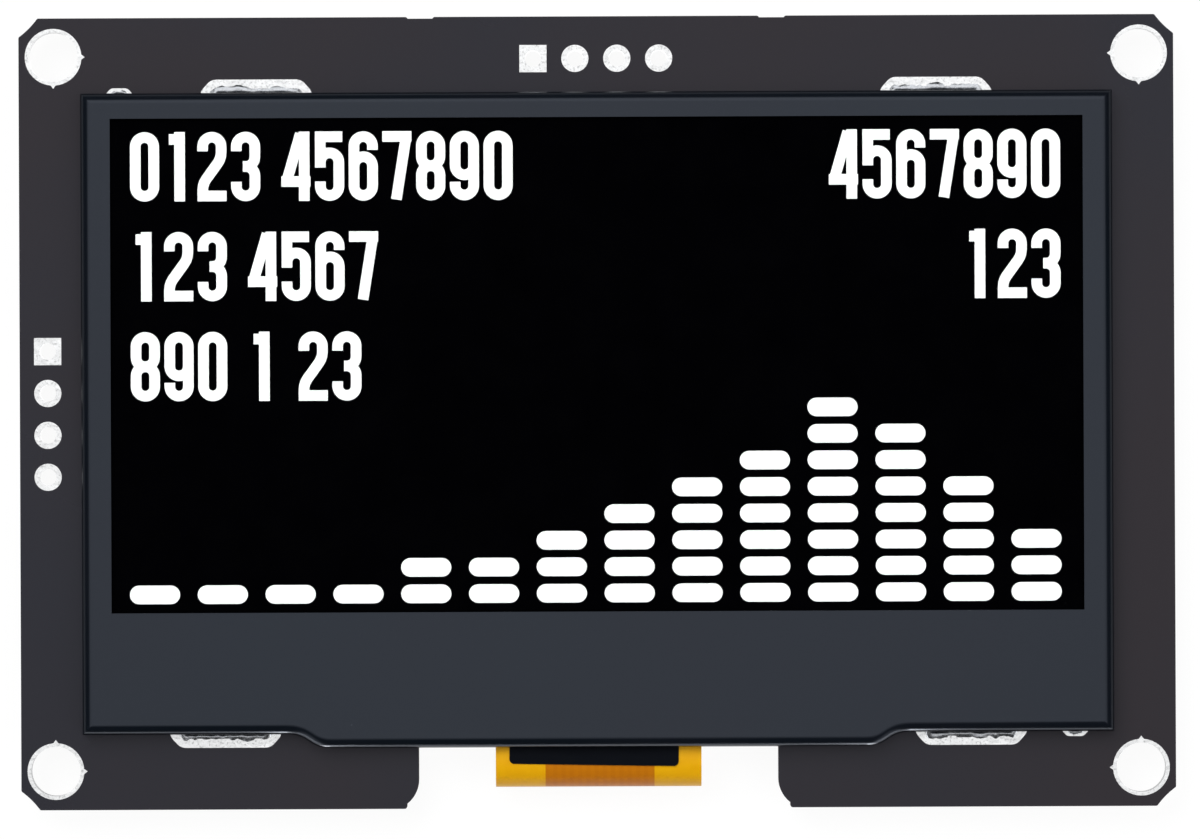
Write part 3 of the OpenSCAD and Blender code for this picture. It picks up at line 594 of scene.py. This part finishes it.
finish_node("smd_solder", joint_solder)


def enamelled_wire():
    material, tree, shader = new_material("enamelled_wire", {
        "Metallic": 0.85, "Coat Weight": 0.6, "Coat Roughness": 0.1,
    })
    place = millimetres(tree)
    tint = add_node(tree, "TexNoise", {"Vector": place, "Scale": 2.0, "Detail": 3}).outputs[0]
    set_inputs(tree, shader, {
        "Base Color": mix_colours(tree, tint, srgb(168, 82, 40), srgb(206, 118, 66)),
        "Roughness": calculate(tree, "MULTIPLY_ADD", tint, 0.1, 0.22),
        "Normal": add_bump(tree, tint, 0.004),
    })
    return material


def wind_coil():
    """Turns of round wire side by side between the flanges, over a full inner layer."""
    low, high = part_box("inductor_coil")
    centre = (low + high) / 2
    reach = (high.x - low.x) / 2
    turns = 5
    wire = (high.z - low.z) / turns
    shape = bmesh.new()
    for turn in range(turns):
        ring = bmesh.ops.create_circle(shape, segments=12, radius=wire / 2)["verts"]
        bmesh.ops.rotate(shape, verts=ring, matrix=Matrix.Rotation(math.pi / 2, 3, "X"))
        level = low.z + (turn + 0.5) * wire
        bmesh.ops.translate(shape, verts=ring, vec=(centre.x + reach - wire / 2, centre.y, level))
        around = list({e for v in ring for e in v.link_edges})
        bmesh.ops.spin(shape, geom=ring + around, cent=(centre.x, centre.y, level),
                       axis=(0, 0, 1), angle=2 * math.pi, steps=48, use_merge=True)
    drum_radius = reach - 0.6 * wire
    bmesh.ops.create_cone(shape, cap_ends=True, segments=48, radius1=drum_radius,
                          radius2=drum_radius, depth=high.z - low.z,
                          matrix=Matrix.Translation(centre))
    bmesh.ops.recalc_face_normals(shape, faces=shape.faces)
    piece = new_piece("wound_coil", shape, enamelled_wire(), "module")
    piece.data.shade_smooth()
    piece.data.set_sharp_from_angle(angle=math.radians(50))
    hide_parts("inductor_coil")


wind_coil()

# ---- Cable socket
# A low socket of ivory liquid-crystal polymer holds the flat cable. A dark slider pushes in
# under the cable to lock it, and gold-plated springs press on it from the board's side.
ivory = speckled("ivory_polymer", srgb(206, 197, 172), 0.5, 0.08, 0.004, 0.05)
slider_polymer = speckled("slider_polymer", srgb(52, 46, 42), 0.45, 0.08, 0.004)
soften("socket_housing", ivory, 0.05 * MM)
soften("socket_slider", slider_polymer, 0.04 * MM)
soften("socket_contacts", tinned("spring_gold", srgb(232, 190, 112), 0.25, 0.3, 0.004), 0.015 * MM)
soften("socket_anchors", lead_tin, 0.03 * MM)


# ---- Glass panel
# Two sheets of glass are sealed round their edge. The light-emitting film is on the back
# of the front glass, and a circular polariser in front of it swallows all reflections.
film_share = 0.6


def polariser_film():
    """Near-black film that lets the picture's light out and mirrors nothing."""
    material, tree, shader = new_material("polariser_film", {})
    place = millimetres(tree)
    cloud = add_node(tree, "TexNoise", {"Vector": place, "Scale": 0.4, "Detail": 2}).outputs[0]
    set_inputs(tree, shader, {
        "Base Color": mix_colours(tree, cloud, srgb(1, 1, 2), srgb(4, 4, 6)),
        "Roughness": calculate(tree, "MULTIPLY_ADD", cloud, 0.05, 0.12),
        "Specular IOR Level": 0.0,
    })
    leaving = add_node(tree, "NewGeometry", {}).outputs["Backfacing"]
    share = calculate(tree, "MULTIPLY_ADD", leaving, -film_share, film_share)
    through = add_node(tree, "BsdfTransparent", {"Color": srgb(233, 233, 233)})
    mix = add_node(tree, "MixShader", {0: share, 1: through.outputs[0], 2: shader.outputs[0]})
    set_inputs(tree, tree.nodes["Material Output"], {"Surface": mix.outputs[0]})
    return material


def sheet_glass(name, light, deep):
    """Glass in two near tones, bonded to the film, so that its faces mirror nothing."""
    material, tree, shader = new_material(name, {
        "Transmission Weight": 1.0, "Specular IOR Level": 0.0, "Roughness": 0.0, "IOR": 1.02,
    })
    inputs = {"Vector": millimetres(tree), "Scale": 0.2, "Detail": 2}
    cloud = add_node(tree, "TexNoise", inputs).outputs[0]
    set_inputs(tree, shader, {"Base Color": mix_colours(tree, cloud, light, deep)})
    return material


finish_node("polariser", polariser_film())
finish_node("front_glass", sheet_glass("sheet_glass", srgb(238, 245, 242), srgb(232, 242, 238)))
finish_node("cap_glass", sheet_glass("cap_sheet", srgb(26, 30, 32), srgb(20, 24, 26)))
finish_node("organic_film", speckled("dark_film", srgb(8, 8, 11), 0.3, 0.05, 0.0005, gloss=0))
finish_node("glass_seal", speckled("seal_resin", srgb(30, 28, 25), 0.4, 0.1, 0.002))
finish_node("desiccant", speckled("desiccant_sheet", srgb(238, 238, 234), 0.8, 0.1, 0.004))
finish_node("driver_chip", speckled("bare_silicon", srgb(96, 98, 106), 0.15, 0.05, 0.0005))
finish_node("foam_tape", speckled("black_foam", srgb(30, 30, 31), 0.9, 0.12, 0.03))

# ---- Lit picture
# The film shows plain numerals and a bar graph in white. Each shape is drawn with a broad
# pen of constant width: straight strokes and arcs, at the film's own depth.
film_low, film_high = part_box("organic_film")
lit_thickness = 0.02 * MM
numeral_height = 4.2 * MM
numeral_width = 1.76 * MM
pen_width = 0.64 * MM
numeral_step = 2.04 * MM
space_step = 1.0 * MM
line_step = 6.05 * MM
bowl = (numeral_width - pen_width) / 2


def numeral_strokes(digit):
    """Strokes of a numeral, each as (start, heading, moves), from its lower left corner."""
    left, right = pen_width / 2, numeral_width - pen_width / 2
    centre, foot, top = numeral_width / 2, pen_width / 2, numeral_height - pen_width / 2
    low, high = foot + bowl, top - bowl
    side = high - low
    waist = numeral_height / 2
    half = side / 2 - bowl
    over, under = (-180, bowl), (180, bowl)
    tip, hook, stub = 0.1 * side, 0.12 * side, 0.3 * bowl
    crossbar, climb = 0.28 * numeral_height, 0.72 * numeral_height
    lean = math.degrees(math.atan2(climb - foot, 0.7 * (right - left)))
    swing = 36
    aside, down = math.sin(math.radians(swing)), math.cos(math.radians(swing))
    slant = (2 * bowl - 4 * bowl * (1 - down)) / aside
    upright = (high - foot - 4 * bowl * aside - slant * down) / 2
    return {
        "0": [((left, low), 90, [side, over, side, over])],
        "1": [((centre + 0.15 * bowl, 0), 90, [numeral_height]),
              ((centre, top - 0.2 * pen_width), 180, [bowl])],
        "2": [((left, high - hook), 90, [hook, over, upright, (-swing, 2 * bowl), slant,
               (swing, 2 * bowl), upright]),
              ((0, foot), 0, [numeral_width])],
        "3": [((left, high - hook), 90, [hook, over, half, (-90, bowl), stub]),
              ((centre - stub, waist), 0, [stub, (-90, bowl), half, over, hook])],
        "4": [((right - 0.1 * bowl, 0), 90, [numeral_height]),
              ((0, crossbar), 0, [numeral_width]),
              ((left, crossbar), lean, [climb])],
        "5": [((0, top), 0, [0.94 * numeral_width]),
              ((left, numeral_height), -90, [0.52 * numeral_height]),
              ((left, waist + tip), 90, [(-180, bowl), waist - low + tip, over, hook])],
        "6": [((right, high - tip), 90, [tip, under, side, under, side / 2, under])],
        "7": [((0, top), 0, [numeral_width]),
              ((right, top), -99, [0.92 * numeral_height])],
        "8": [((left, waist + bowl), 90, [half, over, half, over]),
              ((left, low), 90, [half, over, half, over])],
        "9": [((left, low + tip), -90, [tip, under, side, under, side / 2, under])],
    }[digit]


def line_width(text):
    steps = [space_step if digit == " " else numeral_step for digit in text]
    return sum(steps) - numeral_step + numeral_width


def write_line(shape, text, left, top):
    for digit in text:
        if digit != " ":
            for start, heading, moves in numeral_strokes(digit):
                corner = (left + start[0], top - numeral_height + start[1])
                pen_stroke(shape, corner, heading, moves, pen_width)
        left += space_step if digit == " " else numeral_step


def draw_numerals(shape):
    left, right = film_low.x + 0.28 * MM, film_high.x - 0.42 * MM
    top = film_high.y - 0.34 * MM
    for row, text in enumerate(("0123 4567890", "123 4567", "890 1 23")):
        write_line(shape, text, left, top - row * line_step)
    for row, text in enumerate(("4567890", "123")):
        write_line(shape, text, right - line_width(text), top - row * line_step)


def draw_bars(shape):
    """Columns of lozenges with round ends, as a level meter shows them."""
    heights = (1, 1, 1, 1, 2, 2, 3, 4, 5, 6, 8, 7, 5, 3)
    length, height = 3.04 * MM, 1.13 * MM
    step_x, step_y = 4.105 * MM, 1.602 * MM
    first_x, first_y = film_low.x + 0.17 * MM, film_low.y + 0.085 * MM
    for column, count in enumerate(heights):
        for row in range(count):
            x = first_x + column * step_x + height / 2
            y = first_y + row * step_y + height / 2
            pen_stroke(shape, (x, y), 0, [length - height], height)
            for end in (x, x + length - height):
                disc = bmesh.ops.create_circle(shape, cap_ends=True, segments=28,
                                               radius=height / 2)["verts"]
                bmesh.ops.translate(shape, verts=disc, vec=(end, y, 0))


white_light = new_material("white_light", {
    "Base Color": srgb(30, 30, 32), "Roughness": 0.4,
    "Emission Color": (1, 1, 1, 1), "Emission Strength": 5.3,
})[0]
for name, draw in (("lit_numerals", draw_numerals), ("lit_bars", draw_bars)):
    shape = bmesh.new()
    draw(shape)
    thicken(shape, film_high.z - lit_thickness / 2, film_high.z + lit_thickness / 2)
    new_piece(name, shape, white_light, "module")

# ---- Flat cable
# Amber polyimide film over etched copper: it leaves the ledge of the glass, folds round
# the board's foot and runs back into the socket. The copper shows as a darker band with
# fine lines. Black tape covers its root, slightly out of true.
band_middle = 0.08
band_half = 3.3
line_pitch = 0.5


def amber_film():
    """Amber film in two near tones, with a band of etched lines, sized in millimetres."""
    material, tree, shader = new_material("amber_film", {"Specular IOR Level": 0.12})
    place = millimetres(tree)
    across = add_node(tree, "SeparateXYZ", {"Vector": place}).outputs["X"]
    off_centre = calculate(tree, "ABSOLUTE", calculate(tree, "SUBTRACT", across, band_middle))
    band = calculate(tree, "LESS_THAN", off_centre, band_half)
    turns = calculate(tree, "MULTIPLY", across, 2 * math.pi / line_pitch)
    lines = rescale(tree, calculate(tree, "SINE", turns), -0.4, 0.4)
    cloud = add_node(tree, "TexNoise", {"Vector": place, "Scale": 1.5, "Detail": 3}).outputs[0]
    amber = mix_colours(tree, cloud, srgb(194, 139, 5), srgb(203, 152, 10))
    copper = mix_colours(tree, lines, srgb(169, 99, 8), srgb(173, 103, 9))
    copper = mix_colours(tree, calculate(tree, "MULTIPLY", cloud, 0.3), copper, srgb(138, 74, 5))
    set_inputs(tree, shader, {
        "Base Color": mix_colours(tree, band, amber, copper),
        "Roughness": calculate(tree, "MULTIPLY_ADD", cloud, 0.1, 0.28),
        "Normal": add_bump(tree, lines, 0.001),
    })
    return material


def black_tape():
    material, tree, shader = new_material("black_tape", {"Specular IOR Level": 0.06})
    place = millimetres(tree, stretch=(0.5, 2.2, 1))
    creases = add_node(tree, "TexNoise", {"Vector": place, "Scale": 1.1, "Detail": 3}).outputs[0]
    fine = add_node(tree, "TexNoise", {"Vector": millimetres(tree), "Scale": 30.0}).outputs[0]
    set_inputs(tree, shader, {
        "Base Color": mix_colours(tree, fine, srgb(4, 6, 10), srgb(8, 10, 16)),
        "Roughness": calculate(tree, "MULTIPLY_ADD", creases, 0.2, 0.45),
        "Normal": add_bump(tree, calculate(tree, "MULTIPLY_ADD", fine, 0.05, creases), 0.03),
    })
    return material


finish_node("flat_cable", amber_film())
finish_node("cable_stiffener", speckled("stiffener", srgb(196, 120, 20), 0.4, 0.1, 0.002, 0.05))
finish_node("cable_tape", black_tape())


# ---- Frame
# One stamping of 0.3 mm sheet steel, folded down on all four sides and blackened, with a
# thin satin coat that looks blue-grey where it faces the light.
def satin_black():
    material, tree, shader = new_material("satin_black", {
        "Specular IOR Level": 0.535, "Specular Tint": (0.75, 0.83, 1, 1),
    })
    place = millimetres(tree)
    coat = use_group(tree, cured_coat, {"Place": place, "Peel size": 0.09, "Wave size": 1.6})
    specks = use_group(tree, dust, {"Place": place, "Spacing": 3.0, "Share": 0.2})
    colour = mix_colours(tree, coat["Blotch"], srgb(7, 12, 18), srgb(10, 13, 19))
    set_inputs(tree, shader, {
        "Base Color": mix_colours(tree, specks["Mask"], colour, srgb(30, 33, 38)),
        "Roughness": calculate(tree, "MULTIPLY_ADD", coat["Blotch"], 0.04, 0.18),
        "Normal": add_bump(tree, coat["Height"], 0.0004),
    })
    return material


finish_node("frame", satin_black())

# ---- Tab solder
# Solder joins the frame's six tabs to their plated slots. It fills each slot from behind,
# climbs the steel wall in front and spreads over most of the tinned ring. Its skin froze
# in small lumps.
skin_face = 0.085 * MM
solder_climb = 0.16 * MM
solder_lumps = 0.06 * MM
solder_spread = 0.32 * MM
solder_swell = 0.1 * MM
wall_reach = 0.32 * MM
front_skin = board_high.z - 0.25 * MM


def even_skin(node, voxel):
    """A node's shape with a skin of small even faces."""
    mesh = bpy.data.meshes.new("rough_fill")
    shape = merged_copy(node)
    shape.to_mesh(mesh)
    shape.free()
    rough = bpy.data.objects.new("rough_fill", mesh)
    scene.collection.objects.link(rough)
    remesh = rough.modifiers.new("voxels", "REMESH")
    remesh.mode, remesh.voxel_size = "VOXEL", voxel
    shape = bmesh.new()
    shape.from_object(rough, bpy.context.evaluated_depsgraph_get())
    bpy.data.objects.remove(rough)
    return shape


def frozen_solder(finish):
    """Lumps all over; in front, a swell that climbs near the wall and spreads away from it."""
    shape = even_skin("tab_solder", skin_face)
    wall_line = max(vertex.co.y for vertex in nodes["frame"].data.vertices)
    for vertex in shape.verts:
        place = vertex.co
        lumps = noise.noise(place / (0.35 * MM)) + 0.5 * noise.noise(place / (0.14 * MM))
        off_wall = (abs(place.y) - wall_line) / wall_reach
        near = min(1.0, max(0.0, 1 - off_wall))
        far = min(1.0, max(0.0, off_wall))
        vertex.co += vertex.normal * (solder_lumps * lumps)
        if place.z > front_skin:
            swell = noise.noise(Vector((place.x / 0.7, place.y / 0.3, 0)) / MM)
            vertex.co.z += solder_swell * (1 + swell) + solder_climb * near ** 2
            vertex.co.y += math.copysign(solder_spread, place.y) * far
    bmesh.ops.smooth_vert(shape, verts=shape.verts, factor=0.5, use_axis_x=True,
                          use_axis_y=True, use_axis_z=True)
    bmesh.ops.recalc_face_normals(shape, faces=shape.faces)
    piece = new_piece("frozen_solder", shape, finish, "module")
    piece.data.shade_smooth()
    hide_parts("tab_solder")


frozen_solder(tinned("slot_solder", srgb(206, 209, 214), 0.25, 0.3, 0.03))

# ---- Studio
# The module lies on a pale table under soft lamps and a dome that is bright overhead and dim
# low down, so that flat faces look grey and folded edges dark. Two white cards beyond the foot
# and two low lights at its corners put a thin line of light on the frame's shoulders.
floor_reach = 2.0
shape = bmesh.new()
bmesh.ops.create_grid(shape, x_segments=1, y_segments=1, size=floor_reach)
bmesh.ops.translate(shape, verts=shape.verts, vec=(0, 0, cad_box[0].z))
floor_mesh = bpy.data.meshes.new("floor")
shape.to_mesh(floor_mesh)
shape.free()
floor = bpy.data.objects.new("floor", floor_mesh)
scene.collection.objects.link(floor)


def card_light(tree, across, along, path):
    """Two white cards beyond the foot, seen in the gloss of faces well above the table."""
    off_middle = calculate(tree, "SUBTRACT", calculate(tree, "ABSOLUTE", across), 18.6)
    cards = rescale(tree, calculate(tree, "ABSOLUTE", off_middle), 0.9, 2.0, 12.0, 0.0)
    cards = calculate(tree, "MULTIPLY", cards, calculate(tree, "LESS_THAN", along, -24.0))
    from_above = calculate(tree, "GREATER_THAN", path["Ray Length"], 5.5 * MM)
    return calculate(tree, "MULTIPLY", cards, from_above)


def light_beneath(tree, across, along):
    """Light under the board, stronger towards its top, for the gloss of its back."""
    within_width = rescale(tree, calculate(tree, "ABSOLUTE", across), 33.0, 36.0, 1.0, 0.0)
    within_height = rescale(tree, calculate(tree, "ABSOLUTE", along), 21.0, 23.5, 1.0, 0.0)
    under = calculate(tree, "MULTIPLY", within_width, within_height)
    return calculate(tree, "MULTIPLY", under, rescale(tree, along, -26.0, 26.0, 0.5, 1.25))


def pale_table():
    """Matt table, nearly white to the eye and dim in gloss. From below it is open."""
    material, tree, shader = new_material("pale_table", {
        "Base Color": srgb(246, 246, 246), "Roughness": 0.9, "Specular IOR Level": 0.1,
    })
    path = add_node(tree, "LightPath", {}).outputs
    across, along, _ = add_node(tree, "SeparateXYZ", {"Vector": millimetres(tree)}).outputs
    in_gloss = rescale(tree, along, -26.0, -22.0, 1.3, 0.3)
    in_gloss = calculate(tree, "ADD", in_gloss, card_light(tree, across, along, path))
    in_gloss = calculate(tree, "ADD", in_gloss, light_beneath(tree, across, along))
    level = add_node(tree, "Mix", {0: path["Is Glossy Ray"], 2: 1.0, 3: in_gloss},
                     data_type="FLOAT").outputs[0]
    white = add_node(tree, "Emission", {"Color": (1, 1, 1, 1), "Strength": level})
    eye = calculate(tree, "ADD", path["Is Camera Ray"], path["Is Transmission Ray"], clamp=True)
    share = calculate(tree, "MULTIPLY_ADD", eye, 0.94, path["Is Glossy Ray"], clamp=True)
    top = add_node(tree, "MixShader", {0: share, 1: shader.outputs[0], 2: white.outputs[0]})
    below = add_node(tree, "NewGeometry", {}).outputs["Backfacing"]
    open_way = calculate(tree, "MAXIMUM", below, path["Is Shadow Ray"])
    clear = add_node(tree, "BsdfTransparent", {})
    mix = add_node(tree, "MixShader", {0: open_way, 1: top.outputs[0], 2: clear.outputs[0]})
    set_inputs(tree, tree.nodes["Material Output"], {"Surface": mix.outputs[0]})
    return material


floor_mesh.materials.append(pale_table())


def overhead_light(tree, across, along, height):
    """A broad oval of light, strongest along its middle line and towards the top."""
    wide = calculate(tree, "DIVIDE", across, 0.63)
    tall = calculate(tree, "DIVIDE", calculate(tree, "SUBTRACT", along, 0.19), 0.47)
    away = calculate(tree, "ADD", calculate(tree, "MULTIPLY", wide, wide),
                     calculate(tree, "MULTIPLY", tall, tall))
    oval = calculate(tree, "MULTIPLY", rescale(tree, away, 0.6, 1.4, 1.2, 0.0),
                     calculate(tree, "GREATER_THAN", height, 0.0))
    to_sides = rescale(tree, calculate(tree, "ABSOLUTE", across), 0.0, 0.05, 1.0, 0.74)
    to_top = rescale(tree, along, -0.15, 0.15, 0.7, 1.32)
    return calculate(tree, "MULTIPLY", oval, calculate(tree, "MULTIPLY", to_sides, to_top))


def studio_dome():
    """White to the eye. Its light comes from overhead, from the corners and low at the foot."""
    world = bpy.data.worlds.new("studio_dome")
    scene.world = world
    world.use_nodes = True
    tree = world.node_tree
    path = add_node(tree, "LightPath", {}).outputs
    direction = add_node(tree, "TexCoord", {}).outputs["Generated"]
    across, along, height = add_node(tree, "SeparateXYZ", {"Vector": direction}).outputs
    overhead = overhead_light(tree, across, along, height)
    slant = calculate(tree, "ABSOLUTE", calculate(tree, "MULTIPLY", across, along))
    corners = rescale(tree, slant, 0.15, 0.4, 0.03, 0.7)
    low_foot = calculate(tree, "MULTIPLY", rescale(tree, height, 0.05, 0.18, 1.0, 0.0),
                         calculate(tree, "LESS_THAN", along, 0.0))
    glint = calculate(tree, "MULTIPLY", rescale(tree, slant, 0.18, 0.36, 0.0, 4.0), low_foot)
    glint = calculate(tree, "MULTIPLY", glint, path["Is Glossy Ray"])
    level = calculate(tree, "ADD", calculate(tree, "ADD", overhead, corners), glint)
    seen = calculate(tree, "ADD", path["Is Camera Ray"], path["Is Transmission Ray"], clamp=True)
    strength = add_node(tree, "Mix", {0: seen, 2: level, 3: 1.0}, data_type="FLOAT").outputs[0]
    set_inputs(tree, tree.nodes["Background"], {"Color": (1, 1, 1, 1), "Strength": strength})


studio_dome()
lamp_size = 0.6


def soft_lamp(name, place, power):
    """A square soft box that points at the module and doesn't mirror in its gloss."""
    data = bpy.data.lights.new(name, "AREA")
    data.size = lamp_size
    data.energy = power
    lamp = bpy.data.objects.new(name, data)
    lamp.location = place
    lamp.rotation_euler = (-Vector(place)).to_track_quat("-Z", "Y").to_euler()
    lamp.visible_glossy = False
    scene.collection.objects.link(lamp)


soft_lamp("key_lamp", (-0.25, 0.35, 0.9), 9.0)
soft_lamp("fill_lamp", (0.45, -0.3, 0.8), 3.0)
soft_lamp("lower_lamp", (0.2, -0.3, -0.8), 5.0)
